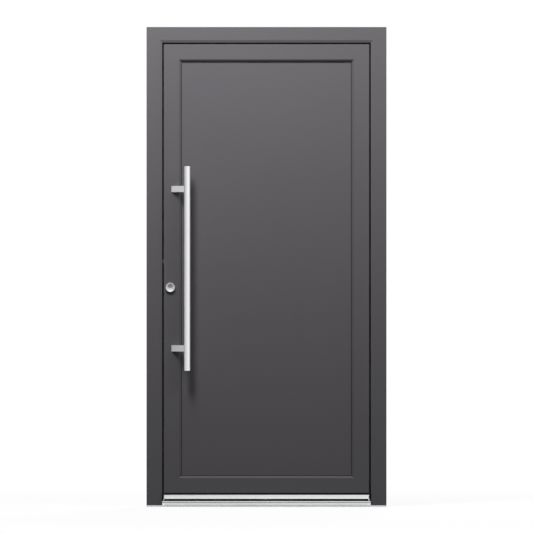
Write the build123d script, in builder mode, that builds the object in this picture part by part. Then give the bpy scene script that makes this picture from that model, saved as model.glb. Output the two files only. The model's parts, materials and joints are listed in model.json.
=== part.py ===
"""Aluminium entrance door in its frame, seen from outside with the pull bar on the left.

Millimetres. X runs across the door, Y from the outside (-Y) to the inside (+Y) and Z up.
The origin is the middle of the sill's underside, half way through the frame's depth.
The leaf opens inwards about the hinges on the right; it is modelled shut and unlocked.
"""

import os

from build123d import *

# Overall frame
frame_width = 1100.0
frame_height = 2200.0
frame_face = 72.0
frame_depth = 75.0
wall = 2.0
frame_bevel_width = 12.0
frame_bevel_depth = 5.0
edge_round = 0.8

# Thermally broken profiles: an outer shell, two polyamide strips and an inner shell
shell_depth = 25.0
strip_web = 2.0
strip_foot_depth = 3.0
strip_foot_wide = 5.6
strip_foot_narrow = 4.0
frame_strip_places = (14.0, 52.0)
leaf_strip_places = (6.0, 60.0)

# Leaf ring and its clearances
joint_gap = 7.0
leaf_bottom = 62.0
leaf_face = 70.0
leaf_bevel_width = 9.0
leaf_bevel_depth = 8.0
lip_thickness = 3.0
rebate = 68.0
flange_reach = 17.0
flange_thickness = 9.0
flange_standoff = 3.0

# Infill panel, its gaskets and beads
gasket_thickness = 3.0
gasket_show = 3.0
gasket_width = 11.0
skin = 2.0
panel_thickness = 44.0
panel_edge_gap = 5.0
bead_width = 18.0
bead_wall = 1.5
bead_bevel = 5.0

# Sill, threshold and weather bar
sill_base_height = 7.0
threshold_top = 27.5
threshold_nose = 4.0
threshold_undercut = 1.5
threshold_foot = 2.5
adapter_bottom = 36.5
adapter_front = 4.0
weather_bar_top = 60.0
weather_bar_depth = 18.0
weather_bar_slope = 10.0
weather_bar_end_gap = 1.0
weather_bar_round = 1.2
brush_y = 20.0
brush_width = 5.0
brush_groove = 6.0
seal_clearance = 0.3

# Multi-point lock
backset = 30.0
rosette_height = 1007.0
plug_above_rosette = 7.0
lever_above_plug = 92.0
faceplate_thickness = 3.0
faceplate_low = 320.0
faceplate_from_head = 300.0
case_thickness = 16.0
case_wall = 1.5
case_depth = 49.0
case_below_plug = 64.0
case_above_lever = 54.0
latch_above_lever = 20.0
latch_height = 16.0
latch_throw = 12.0
latch_thickness = 12.0
bolt_above_plug = 38.0
bolt_height = 36.0
bolt_length = 39.5
bolt_inset = 0.5
slot_clearance = 0.8
latch_nose = 3.0
latch_body = 14.0
latch_tail = 3.0
latch_tail_half = 4.0
latch_play = 1.0
lug_thickness = 4.0
faceplate_slot_below = 38.0
faceplate_slot_above = 8.0
hook_heights = {"lower": 620.0, "upper": 1640.0}
hook_depth = 17.0
hook_thickness = 8.0
hook_neck = 10.0
hook_reach = 34.0
hook_tip = 8.0
hook_rise = 15.0
hook_boss = 9.0
hook_pin = 4.0
hook_case_depth = 29.0
hook_case_below = 46.0
hook_case_above = 20.0
strike_thickness = 2.0
strike_width = 44.0
strike_corner = 3.0
strike_margin = 22.0
strike_slot_below = 32.0
strike_slot_above = 6.5

# Cylinder, rosette and lever set
cylinder_radius = 8.5
cylinder_slot = 10.0
cylinder_drop = 24.5
cylinder_stand = 8.5
plug_radius = 6.5
running_clearance = 0.05
cam_width = 10.0
cam_reach = 15.0
cam_clearance = 0.5
cam_bridge = 16.0
rosette_radius = 22.0
rosette_thickness = 9.0
spindle = 8.0
follower_arm = 20.0
follower_arm_width = 6.0
plate_width = 35.0
plate_thickness = 9.0
plate_low = 962.0
plate_high = 1160.0
plate_round = 8.0
plate_edge_bevel = 2.0
neck_clearance = 0.4
lever_radius = 9.5
lever_stand = 46.0
lever_length = 125.0
knob_radius = 15.0
knob_thickness = 12.0
knob_base = 3.0
knob_gap = 0.8
knob_wing = 9.0
keyway_width = 2.4
keyway_height = 9.0
keyway_depth = 24.0
cam_lever_width = 6.0
cylinder_fit = 0.2
rosette_crown = 17.5
rosette_shoulder = 6.0
hub_radius = 7.9
spindle_grip = 14.0

# Pull bar
bar_inset = 108.5
bar_radius = 15.0
bar_end_bevel = 1.0
bar_low = 625.0
bar_high = 1561.0
bar_stand = 59.5
support_heights = {"lower": 727.0, "upper": 1457.0}
support_height = 28.0
support_width = 28.0
stud_radius = 4.0
stud_length = 15.0

# Hinges
hinge_from_end = 270.0
hinge_middle_rise = 50.0
hinge_axis_reach = 31.0
hinge_axis_stand = 1.5
knuckle_radius = 11.0
knuckle_gap = 1.0
knuckle_arm = 6.0
hinge_height = 120.0
pin_end_gap = 4.0
hinge_plate = 6.0
hinge_plate_width = 34.0
hinge_edge = 1.0
hinge_pin_radius = 5.0
pin_clearance = 0.1

# Wall fixing holes
fixing_radius = 5.25
fixing_from_sill = 250.0
fixing_from_head = 150.0

# Corner cleats: start and end of a leg from the profile's edge, and its length
frame_cleat = (20.0, 46.0, 120.0)
leaf_cleat = (16.0, 50.0, 120.0)

# Seals
stop_seal_front = 8.0
stop_seal_width = 7.0
stop_seal_reach = 3.5
stop_seal_round = 1.5
seal_wall = 0.9
flange_seal_edge = 2.0
flange_seal_width = 8.0

# Worked out from the values above
half_frame = frame_width / 2
outside = -frame_depth / 2
inside = frame_depth / 2
break_start = outside + shell_depth
break_end = inside - shell_depth
frame_wall = half_frame - frame_face
leaf_half = frame_wall - joint_gap
leaf_top = frame_height - frame_face - joint_gap
leaf_inside = inside + flange_standoff + flange_thickness
leaf_depth = leaf_inside - outside
lip_back = leaf_bevel_depth + lip_thickness
lip_edge = leaf_face + leaf_bevel_width
panel_front = lip_back + gasket_thickness
panel_back = panel_front + panel_thickness
bead_front = panel_back + gasket_thickness
gasket_edge = lip_edge + gasket_show
panel_edge = rebate + panel_edge_gap
lock_x = -leaf_half + backset
plug_z = rosette_height + plug_above_rosette
lever_z = plug_z + lever_above_plug
latch_z = lever_z + latch_above_lever
bolt_z = plug_z + bolt_above_plug
case_low = plug_z - case_below_plug
case_high = lever_z + case_above_lever
hook_x = -leaf_half + hook_depth
pocket_half = lever_radius + neck_clearance
pocket_low = plug_z - cylinder_drop - slot_clearance
pocket_high = plug_z + cylinder_radius + slot_clearance
hinge_x = leaf_half + hinge_axis_reach
hinge_y = leaf_inside + hinge_axis_stand
hinge_heights = {
    "bottom": hinge_from_end,
    "middle": frame_height / 2 + hinge_middle_rise,
    "top": frame_height - hinge_from_end,
}
fixing_span = frame_height - fixing_from_head - fixing_from_sill
fixing_heights = [fixing_from_sill + fixing_span * share for share in (0, 1 / 3, 2 / 3, 1)]
faceplate_high = frame_height - faceplate_from_head
backplate_face = leaf_inside + plate_thickness
bar_x = -leaf_half + bar_inset
bar_y = outside - bar_stand
foot_x = bar_x - bar_stand
arm_end = support_width / 4
break_width = break_end - break_start
fixing_y = inside - shell_depth / 2
frame_plate_x = half_frame - hinge_plate_width / 2 - hinge_edge
leaf_plate_end = leaf_half + flange_reach - hinge_edge
leaf_plate_x = leaf_half - hinge_plate_width / 2


def save(part, name):
    """Labels a finished piece and writes it as its own file."""
    part.label = name
    export_step(part, f"parts/{name}.step")


def side_plane(side, half_width, bottom, top):
    """Start corner of one member of a rectangular ring: x points into the ring,
    y into the depth and z along the member, clockwise as seen from outside."""
    corners = {
        "left": ((-half_width, outside, bottom), (1, 0, 0), (0, 0, 1), top - bottom),
        "head": ((-half_width, outside, top), (0, 0, -1), (1, 0, 0), 2 * half_width),
        "right": ((half_width, outside, top), (-1, 0, 0), (0, 0, -1), top - bottom),
        "bottom": ((half_width, outside, bottom), (0, 0, 1), (-1, 0, 0), 2 * half_width),
    }
    corner, inward, along, length = corners[side]
    return Plane(origin=corner, x_dir=inward, z_dir=along), length


def ring_member(side, ring, draw, mitre_start=True, mitre_end=True):
    """Extrudes the section that draw() sketches along one side and mitres its ends."""
    plane, length = side_plane(side, *ring)
    spare_start = flange_reach if mitre_start else 0
    spare_end = flange_reach if mitre_end else 0
    far_corner = plane.origin + plane.z_dir * length
    with BuildPart() as member:
        with BuildSketch(plane.offset(-spare_start)) as section:
            draw(section)
        extrude(amount=length + spare_start + spare_end)
        if mitre_start:
            split(bisect_by=Plane(plane.origin, z_dir=plane.z_dir - plane.x_dir), keep=Keep.TOP)
        if mitre_end:
            split(bisect_by=Plane(far_corner, z_dir=-plane.z_dir - plane.x_dir), keep=Keep.TOP)
    return member.part


def fill(points, mode=Mode.ADD):
    """Adds or cuts the outline through the points in the sketch that is open."""
    Polygon(*points, align=None, mode=mode)


def soften(section, places, radius=edge_round):
    """Rounds those corners of the open sketch that lie at the given places."""
    for x, y in places:
        fillet(section.vertices().filter_by(lambda c: abs(c.X - x) + abs(c.Y - y) < 0.01), radius)


def strip_groove(place, mouth, inward):
    """Thickens the shell's wall about one insulating strip and cuts the strip's dovetail.
    inward is +1 where the shell lies deeper than its mouth and -1 where it lies before it."""
    half_land = strip_foot_wide / 2 + wall
    floor = mouth + inward * strip_foot_depth
    land_end = mouth + inward * (strip_foot_depth + wall)
    fill([
        (place - half_land, mouth),
        (place + half_land, mouth),
        (place + half_land, land_end),
        (place - half_land, land_end),
    ])
    fill([
        (place - strip_foot_narrow / 2, mouth),
        (place + strip_foot_narrow / 2, mouth),
        (place + strip_foot_wide / 2, floor),
        (place - strip_foot_wide / 2, floor),
    ], mode=Mode.SUBTRACT)


def hollow_shell(section, outline, strips, mouth, inward, rounded):
    """One aluminium shell: its outline with an even wall, and the strips' grooves."""
    fill(outline)
    offset(amount=-wall, kind=Kind.INTERSECTION, mode=Mode.SUBTRACT)
    for place in strips:
        strip_groove(place, mouth, inward)
    soften(section, rounded)


def draw_frame_outer(section):
    outline = [
        (0, 0),
        (frame_face - frame_bevel_width, 0),
        (frame_face, frame_bevel_depth),
        (frame_face, shell_depth),
        (0, shell_depth),
    ]
    hollow_shell(section, outline, frame_strip_places, shell_depth, -1, outline[:4])


def draw_frame_inner(section):
    outline = [
        (0, frame_depth - shell_depth),
        (frame_face, frame_depth - shell_depth),
        (frame_face, frame_depth),
        (0, frame_depth),
    ]
    hollow_shell(section, outline, frame_strip_places, frame_depth - shell_depth, 1, outline[1:])


def draw_leaf_outer(section):
    outline = [
        (0, 0),
        (leaf_face, 0),
        (lip_edge, leaf_bevel_depth),
        (lip_edge, lip_back),
        (rebate, lip_back),
        (rebate, shell_depth),
        (0, shell_depth),
    ]
    hollow_shell(section, outline, leaf_strip_places, shell_depth, -1, outline[:3])


def draw_leaf_inner(section):
    start = shell_depth + break_width
    flange_front = leaf_depth - flange_thickness
    outline = [
        (0, start),
        (rebate, start),
        (rebate, leaf_depth),
        (-flange_reach, leaf_depth),
        (-flange_reach, flange_front),
        (0, flange_front),
    ]
    hollow_shell(section, outline, leaf_strip_places, start, 1, outline[2:5])


def draw_strips(places):
    """Both polyamide strips of a member, each a web with a dovetail foot at either end."""
    near = shell_depth
    far = shell_depth + break_width
    for place in places:
        fill([
            (place - strip_foot_wide / 2, near - strip_foot_depth),
            (place + strip_foot_wide / 2, near - strip_foot_depth),
            (place + strip_foot_narrow / 2, near),
            (place + strip_web / 2, near),
            (place + strip_web / 2, far),
            (place + strip_foot_narrow / 2, far),
            (place + strip_foot_wide / 2, far + strip_foot_depth),
            (place - strip_foot_wide / 2, far + strip_foot_depth),
            (place - strip_foot_narrow / 2, far),
            (place - strip_web / 2, far),
            (place - strip_web / 2, near),
            (place - strip_foot_narrow / 2, near),
        ])


def draw_bead(section):
    """Hollow glazing bead, with a bevel towards the panel like the one outside."""
    outer = rebate + bead_width
    outline = [
        (rebate, bead_front),
        (outer, bead_front),
        (outer, leaf_depth - bead_bevel),
        (outer - bead_bevel, leaf_depth),
        (rebate, leaf_depth),
    ]
    fill(outline)
    offset(amount=-bead_wall, kind=Kind.INTERSECTION, mode=Mode.SUBTRACT)


def through(x, z, radius, near, far):
    """Cuts a round hole through the open part along Y, from one depth to the other."""
    with BuildSketch(Plane((x, near, z), x_dir=(1, 0, 0), z_dir=(0, 1, 0))) as round_hole:
        Circle(radius)
    extrude(round_hole.sketch, amount=far - near, mode=Mode.SUBTRACT)


def depth_plane(y):
    """Upright plane at depth y, whose own x is X and whose own y is -Z."""
    return Plane((0, y, 0), x_dir=(1, 0, 0), z_dir=(0, 1, 0))


def slab(x_low, x_high, y_low, y_high, z_low, z_high, mode=Mode.ADD):
    """Block between the given limits, added to or cut from the open part."""
    with BuildSketch(Plane.XY.offset(z_low)) as base:
        with Locations(((x_low + x_high) / 2, (y_low + y_high) / 2)):
            Rectangle(x_high - x_low, y_high - y_low)
    extrude(base.sketch, amount=z_high - z_low, mode=mode)


def draw_frame_seal(section):
    """Hollow rubber seal on the rebate wall, which closes the joint seen from outside."""
    tip = frame_face + stop_seal_reach
    fill([
        (frame_face, stop_seal_front),
        (tip - stop_seal_round, stop_seal_front),
        (tip, stop_seal_front + stop_seal_round),
        (tip, stop_seal_front + stop_seal_width),
        (frame_face, stop_seal_front + stop_seal_width),
    ])
    with Locations((frame_face + stop_seal_reach / 2, stop_seal_front + stop_seal_width / 2)):
        Rectangle(stop_seal_reach - 2 * seal_wall, stop_seal_width - 2 * seal_wall, mode=Mode.SUBTRACT)


def draw_flange_seal(section):
    """Rubber seal on the leaf's flange, which meets the frame's inner face."""
    front = leaf_depth - flange_thickness - flange_standoff + seal_clearance
    back = leaf_depth - flange_thickness
    left = -flange_reach + flange_seal_edge
    fill([
        (left, back),
        (left + stop_seal_round, front),
        (left + flange_seal_width - stop_seal_round, front),
        (left + flange_seal_width, back),
    ])


os.makedirs("parts", exist_ok=True)

# Slots for the bolts: lower end, upper end and half depth
flat_half = latch_thickness / 2 + slot_clearance
hook_half = hook_thickness / 2 + slot_clearance
latch_reach = latch_height / 2 + slot_clearance
bolt_reach = bolt_height / 2 + slot_clearance
latch_slot = (latch_z - latch_reach, latch_z + latch_reach, flat_half)
bolt_slot = (bolt_z - bolt_reach, bolt_z + bolt_reach, flat_half)
hook_slots = {
    place: (height - strike_slot_below, height + strike_slot_above, hook_half)
    for place, height in hook_heights.items()
}

strike_face = -frame_wall + strike_thickness
frame_ring = (half_frame, sill_base_height, frame_height)
seal_ring = (half_frame, threshold_top, frame_height)
leaf_ring = (leaf_half, leaf_bottom, leaf_top)
jamb_sides = {"left": (False, True), "head": (True, True), "right": (True, False)}

# Frame: three mitred sides, each an outer and an inner shell on two insulating strips
for side, mitres in jamb_sides.items():
    with BuildPart() as frame_outer:
        add(ring_member(side, frame_ring, draw_frame_outer, *mitres))
    save(frame_outer.part, f"frame_{side}_outer")

    with BuildPart() as frame_inner:
        add(ring_member(side, frame_ring, draw_frame_inner, *mitres))
        if side != "head":
            jamb_x = -half_frame if side == "left" else half_frame - wall
            with BuildSketch(Plane((jamb_x, 0, 0), x_dir=(0, 1, 0), z_dir=(1, 0, 0))):
                with Locations([(fixing_y, z) for z in fixing_heights]):
                    Circle(fixing_radius)
            extrude(amount=wall, mode=Mode.SUBTRACT)
    save(frame_inner.part, f"frame_{side}_inner")

with BuildPart() as frame_thermal_breaks:
    for side, mitres in jamb_sides.items():
        add(ring_member(side, frame_ring, lambda s: draw_strips(frame_strip_places), *mitres))
save(frame_thermal_breaks.part, "frame_thermal_breaks")


def corner_cleat(across, up, leg_start, leg_end, length, y_low, y_high):
    """L-shaped cleat at (x, z) whose legs point along the signs of across and up."""
    x, x_way = across
    z, z_way = up
    outline = [
        (leg_start, leg_start),
        (length, leg_start),
        (length, leg_end),
        (leg_end, leg_end),
        (leg_end, length),
        (leg_start, length),
    ]
    with BuildSketch(depth_plane(y_low)) as corner:
        fill([(x + x_way * a, -(z + z_way * b)) for a, b in outline])
    extrude(corner.sketch, amount=y_high - y_low)


with BuildPart() as frame_corner_cleats:
    for y_low, y_high in ((outside + wall, break_start - wall), (break_end + wall, inside - wall)):
        for way in (1, -1):
            corner_cleat((-way * half_frame, way), (frame_height, -1), *frame_cleat, y_low, y_high)
save(frame_corner_cleats.part, "frame_corner_cleats")

with BuildPart() as frame_stop_seal:
    for side, mitres in jamb_sides.items():
        add(ring_member(side, seal_ring, draw_frame_seal, *mitres))
save(frame_stop_seal.part, "frame_stop_seal")

# Sill: a flat base under the whole frame and a thermally broken threshold between the jambs
with BuildPart() as sill_base:
    slab(-half_frame, half_frame, outside, inside, 0, sill_base_height)
save(sill_base.part, "sill_base")

threshold_front = outside + frame_bevel_depth
nose_bottom = threshold_top - threshold_nose
foot_top = sill_base_height + threshold_foot

with BuildPart() as threshold_outer:
    with BuildSketch(Plane.YZ.offset(-frame_wall)) as section:
        fill([
            (threshold_front + threshold_undercut, sill_base_height),
            (threshold_front + threshold_undercut, foot_top),
            (threshold_front, foot_top),
            (threshold_front, nose_bottom),
            (threshold_front - threshold_undercut, nose_bottom),
            (threshold_front - threshold_undercut, threshold_top),
            (break_start, threshold_top),
            (break_start, sill_base_height),
        ])
        soften(section, [(threshold_front - threshold_undercut, threshold_top)], threshold_undercut)
        with Locations(((threshold_front + break_start + wall) / 2, (sill_base_height + threshold_top) / 2)):
            Rectangle(
                break_start - threshold_front - 3 * wall - threshold_undercut,
                threshold_top - sill_base_height - 2 * wall,
                mode=Mode.SUBTRACT,
            )
    extrude(amount=2 * frame_wall)
save(threshold_outer.part, "threshold_outer")

with BuildPart() as threshold_break:
    with BuildSketch(Plane.YZ.offset(-frame_wall)):
        with Locations((0, (sill_base_height + threshold_top) / 2)):
            Rectangle(break_width, threshold_top - sill_base_height)
            Rectangle(break_width - 2 * wall, threshold_top - sill_base_height - 2 * wall, mode=Mode.SUBTRACT)
            Rectangle(wall, threshold_top - sill_base_height)
    extrude(amount=2 * frame_wall)
save(threshold_break.part, "threshold_break")

with BuildPart() as threshold_inner:
    with BuildSketch(Plane.YZ.offset(-frame_wall)) as section:
        with Locations(((break_end + inside) / 2, (sill_base_height + threshold_top) / 2)):
            Rectangle(shell_depth, threshold_top - sill_base_height)
            Rectangle(shell_depth - 2 * wall, threshold_top - sill_base_height - 2 * wall, mode=Mode.SUBTRACT)
        soften(section, [(inside, threshold_top)], edge_round)
    extrude(amount=2 * frame_wall)
save(threshold_inner.part, "threshold_inner")


# Strikes: plates over the groove of the lock jamb, with a slot for each bolt
def strike(low, high, half):
    """Plate round one slot, given by its heights and its half depth."""
    with BuildPart() as plate:
        slab(-frame_wall, strike_face, -strike_width / 2, strike_width / 2,
             low - strike_margin, high + strike_margin)
        chamfer(plate.edges().filter_by(Axis.X), strike_corner)
        slab(-frame_wall, strike_face, -half, half, low, high, Mode.SUBTRACT)
    return plate.part


with BuildPart() as main_strike_plates:
    add(strike(*latch_slot))
    add(strike(*bolt_slot))
save(main_strike_plates.part, "main_strike_plates")

with BuildPart() as hook_strike_plates:
    for slot in hook_slots.values():
        add(strike(*slot))
save(hook_strike_plates.part, "hook_strike_plates")

# Hinges in two parts: the frame's lower knuckle carries the pin, the leaf's upper one turns on it
def knuckle(z_low, z_high, arm_end, arm_y):
    """Knuckle between two heights, with the arm that joins it to its plate."""
    with BuildSketch(Plane.XY.offset(z_low)) as section:
        with Locations((hinge_x, hinge_y)):
            Circle(knuckle_radius)
        with Locations(((hinge_x + arm_end) / 2, arm_y)):
            Rectangle(abs(arm_end - hinge_x), knuckle_arm)
    extrude(section.sketch, amount=z_high - z_low)


with BuildPart() as hinge_frame_parts:
    plate_near = frame_plate_x - hinge_plate_width / 2
    for height in hinge_heights.values():
        low = height - hinge_height / 2
        high = height + hinge_height / 2
        slab(plate_near, plate_near + hinge_plate_width, inside, inside + hinge_plate, low, high)
        knuckle(low, height - knuckle_gap / 2, plate_near, inside + hinge_plate - knuckle_arm / 2 + 1)
        with BuildSketch(Plane((hinge_x, hinge_y, height - knuckle_gap / 2))) as pin:
            Circle(hinge_pin_radius)
        extrude(pin.sketch, amount=hinge_height / 2 - pin_end_gap)
save(hinge_frame_parts.part, "hinge_frame_parts")

with BuildPart() as hinge_leaf_parts:
    plate_far = leaf_plate_x - hinge_plate_width / 2
    for height in hinge_heights.values():
        low = height - hinge_height / 2
        high = height + hinge_height / 2
        slab(plate_far, leaf_plate_end, leaf_inside, leaf_inside + hinge_plate, low, high)
        knuckle(height + knuckle_gap / 2, high, leaf_plate_end, leaf_inside + knuckle_arm / 2)
        with BuildSketch(Plane((hinge_x, hinge_y, height))) as bore:
            Circle(hinge_pin_radius + pin_clearance)
        extrude(bore.sketch, amount=hinge_height / 2 - pin_end_gap + knuckle_gap / 2, mode=Mode.SUBTRACT)
save(hinge_leaf_parts.part, "hinge_leaf_parts")


# Leaf: four mitred sides like the frame's, with a flange that overlaps the frame inside
def euro_profile(clearance=0.0):
    """Outline of the lock cylinder in a depth plane: a circle with a slot hanging from it."""
    with Locations((lock_x, -plug_z)):
        Circle(cylinder_radius + clearance)
    with Locations((lock_x, -(plug_z - (cylinder_drop - cylinder_slot / 2) / 2))):
        Rectangle(cylinder_slot + 2 * clearance, cylinder_drop - cylinder_slot / 2)
    with Locations((lock_x, -(plug_z - cylinder_drop + cylinder_slot / 2))):
        Circle(cylinder_slot / 2 + clearance)


def pocket(z_low, z_high, y_low, y_high):
    """Routed pocket behind a cover plate, as wide as the cylinder's passage allows."""
    slab(lock_x - pocket_half, lock_x + pocket_half, y_low, y_high, z_low, z_high, Mode.SUBTRACT)


def cut_cylinder(y_low, y_high, clearance=0.0):
    """Cuts the passage of the lock cylinder through the open part."""
    with BuildSketch(depth_plane(y_low)) as passage:
        euro_profile(clearance)
    extrude(passage.sketch, amount=y_high - y_low, mode=Mode.SUBTRACT)


leaf_sides = ("left", "head", "right", "bottom")
for side in leaf_sides:
    with BuildPart() as leaf_outer:
        add(ring_member(side, leaf_ring, draw_leaf_outer))
        if side == "left":
            pocket(pocket_low, pocket_high, outside, break_start)
            for height in support_heights.values():
                through(foot_x, height, stud_radius, outside, outside + wall)
    save(leaf_outer.part, f"leaf_{side}_outer")

    with BuildPart() as leaf_inner:
        add(ring_member(side, leaf_ring, draw_leaf_inner))
        if side == "left":
            pocket(pocket_low, pocket_high, break_end, leaf_inside)
            pocket(lever_z - pocket_half, lever_z + pocket_half, break_end, leaf_inside)
    save(leaf_inner.part, f"leaf_{side}_inner")

case_back = -leaf_half + faceplate_thickness + case_depth
hook_case_back = -leaf_half + faceplate_thickness + hook_case_depth
hook_cases = [(z - hook_case_below, z + hook_case_above) for z in hook_heights.values()]

with BuildPart() as leaf_thermal_breaks:
    for side in leaf_sides:
        add(ring_member(side, leaf_ring, lambda s: draw_strips(leaf_strip_places)))
    for low, high in [(case_low, case_high), *hook_cases]:
        slab(-leaf_half, lock_x, break_start - strip_foot_depth, break_end + strip_foot_depth,
             low, high, Mode.SUBTRACT)
save(leaf_thermal_breaks.part, "leaf_thermal_breaks")

with BuildPart() as leaf_corner_cleats:
    for y_low, y_high in ((outside + wall, break_start - wall), (break_end + wall, leaf_inside - wall)):
        for way in (1, -1):
            corner_cleat((-way * leaf_half, way), (leaf_top, -1), *leaf_cleat, y_low, y_high)
            corner_cleat((-way * leaf_half, way), (leaf_bottom, 1), *leaf_cleat, y_low, y_high)
save(leaf_corner_cleats.part, "leaf_corner_cleats")

with BuildPart() as leaf_flange_seal:
    for side, mitres in jamb_sides.items():
        add(ring_member(side, leaf_ring, draw_flange_seal, *mitres))
save(leaf_flange_seal.part, "leaf_flange_seal")


# Infill panel, held between gaskets by the lips outside and the beads inside
def ring_layer(edge, depth, thickness, opening=None):
    """Layer of the infill at a depth from the outer face; edge and opening are distances
    from the leaf's edge to the layer's outer and inner outline."""
    middle = (leaf_bottom + leaf_top) / 2
    with BuildSketch(depth_plane(outside + depth)) as layer:
        with Locations((0, -middle)):
            Rectangle(2 * (leaf_half - edge), leaf_top - leaf_bottom - 2 * edge)
            if opening:
                Rectangle(
                    2 * (leaf_half - opening),
                    leaf_top - leaf_bottom - 2 * opening,
                    mode=Mode.SUBTRACT,
                )
    extrude(layer.sketch, amount=thickness)


with BuildPart() as panel_outer_skin:
    ring_layer(panel_edge, panel_front, skin)
save(panel_outer_skin.part, "panel_outer_skin")

with BuildPart() as panel_core:
    ring_layer(panel_edge, panel_front + skin, panel_thickness - 2 * skin)
save(panel_core.part, "panel_core")

with BuildPart() as panel_inner_skin:
    ring_layer(panel_edge, panel_back - skin, skin)
save(panel_inner_skin.part, "panel_inner_skin")

with BuildPart() as panel_outer_gasket:
    ring_layer(gasket_edge - gasket_width, lip_back, gasket_thickness, gasket_edge)
save(panel_outer_gasket.part, "panel_outer_gasket")

with BuildPart() as panel_inner_gasket:
    ring_layer(panel_edge, panel_back, gasket_thickness, rebate + bead_width)
save(panel_inner_gasket.part, "panel_inner_gasket")

with BuildPart() as glazing_beads:
    for side in leaf_sides:
        add(ring_member(side, leaf_ring, draw_bead))
save(glazing_beads.part, "glazing_beads")

# Foot of the leaf: adapter profile, weather bar outside and two brush seals below
adapter_face = outside + adapter_front
adapter_back = leaf_inside - flange_thickness
with BuildPart() as leaf_foot_adapter:
    with BuildSketch(Plane.YZ.offset(-leaf_half)):
        with Locations(((adapter_face + adapter_back) / 2, (adapter_bottom + leaf_bottom) / 2)):
            Rectangle(adapter_back - adapter_face, leaf_bottom - adapter_bottom)
            Rectangle(adapter_back - adapter_face - 2 * wall, leaf_bottom - adapter_bottom - 2 * wall,
                      mode=Mode.SUBTRACT)
        with Locations((-brush_y, adapter_bottom), (brush_y, adapter_bottom)):
            Rectangle(brush_width + 2 * wall, brush_groove + wall, align=(Align.CENTER, Align.MIN))
            Rectangle(brush_width, brush_groove, align=(Align.CENTER, Align.MIN), mode=Mode.SUBTRACT)
    extrude(amount=2 * leaf_half)
save(leaf_foot_adapter.part, "leaf_foot_adapter")

with BuildPart() as bottom_seal:
    with BuildSketch(Plane.YZ.offset(-leaf_half)):
        with Locations((-brush_y, adapter_bottom + brush_groove), (brush_y, adapter_bottom + brush_groove)):
            Rectangle(
                brush_width,
                adapter_bottom + brush_groove - threshold_top - seal_clearance,
                align=(Align.CENTER, Align.MAX),
            )
    extrude(amount=2 * leaf_half)
save(bottom_seal.part, "bottom_seal")

weather_front = outside - weather_bar_depth
weather_half = leaf_half - weather_bar_end_gap
with BuildPart() as weather_bar:
    with BuildSketch(Plane.YZ.offset(-weather_half)) as section:
        fill([
            (adapter_face, adapter_bottom),
            (adapter_face, weather_bar_top),
            (outside, weather_bar_top),
            (weather_front, weather_bar_top - weather_bar_slope),
            (weather_front, adapter_bottom),
        ])
        offset(amount=-bead_wall, kind=Kind.INTERSECTION, mode=Mode.SUBTRACT)
        soften(section, [(weather_front, weather_bar_top - weather_bar_slope)], weather_bar_round)
    extrude(amount=2 * weather_half)
save(weather_bar.part, "weather_bar")

# Multi-point lock: a long faceplate in the leaf's edge, the main case and two hook cases
face_x = -leaf_half + faceplate_thickness
with BuildPart() as lock_faceplate:
    slab(-leaf_half, face_x, break_start, break_end, faceplate_low, faceplate_high)
    for low, high, half in (latch_slot, bolt_slot):
        slab(-leaf_half, face_x, -half, half, low, high, Mode.SUBTRACT)
    for height in hook_heights.values():
        slab(-leaf_half, face_x, -hook_half, hook_half,
             height - faceplate_slot_below, height + faceplate_slot_above, Mode.SUBTRACT)
save(lock_faceplate.part, "lock_faceplate")


def lock_case(back, low, high):
    """Folded sheet case, open towards the faceplate."""
    half = case_thickness / 2
    slab(face_x, back, -half, half, low, high)
    slab(face_x, back - case_wall, -half + case_wall, half - case_wall,
         low + case_wall, high - case_wall, Mode.SUBTRACT)


with BuildPart() as main_lock_case:
    lock_case(case_back, case_low, case_high)
    cut_cylinder(-case_thickness / 2, case_thickness / 2)
    through(lock_x, lever_z, hub_radius + running_clearance, -case_thickness / 2, case_thickness / 2)
save(main_lock_case.part, "main_lock_case")

with BuildPart() as hook_lock_cases:
    for (low, high), height in zip(hook_cases, hook_heights.values()):
        lock_case(hook_case_back, low, high)
        with BuildSketch(depth_plane(-case_thickness / 2)):
            with Locations((hook_x, -height)):
                Circle(hook_pin)
        extrude(amount=case_thickness)
save(hook_lock_cases.part, "hook_lock_cases")

for place, height in hook_heights.items():
    with BuildPart() as hook:
        with BuildSketch(depth_plane(-hook_thickness / 2)) as section:
            with Locations((hook_x, -height)):
                Circle(hook_boss)
            fill([
                (hook_x - hook_neck / 2, -height),
                (hook_x + hook_neck / 2, -height),
                (hook_x + hook_neck / 2, -(height - hook_reach)),
                (hook_x - hook_rise, -(height - hook_reach)),
                (hook_x - hook_rise, -(height - hook_reach + hook_tip)),
                (hook_x - hook_neck / 2, -(height - hook_reach + hook_tip)),
            ])
            with Locations((hook_x, -height)):
                Circle(hook_pin + running_clearance, mode=Mode.SUBTRACT)
        extrude(amount=hook_thickness)
    save(hook.part, f"hook_{place}")

with BuildPart() as deadbolt:
    bolt_end = -leaf_half + bolt_inset
    slab(bolt_end, bolt_end + bolt_length, -latch_thickness / 2, latch_thickness / 2,
         bolt_z - bolt_height / 2, bolt_z + bolt_height / 2)
    chamfer(deadbolt.faces().sort_by(Axis.X)[0].edges(), edge_round)
save(deadbolt.part, "deadbolt")

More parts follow.
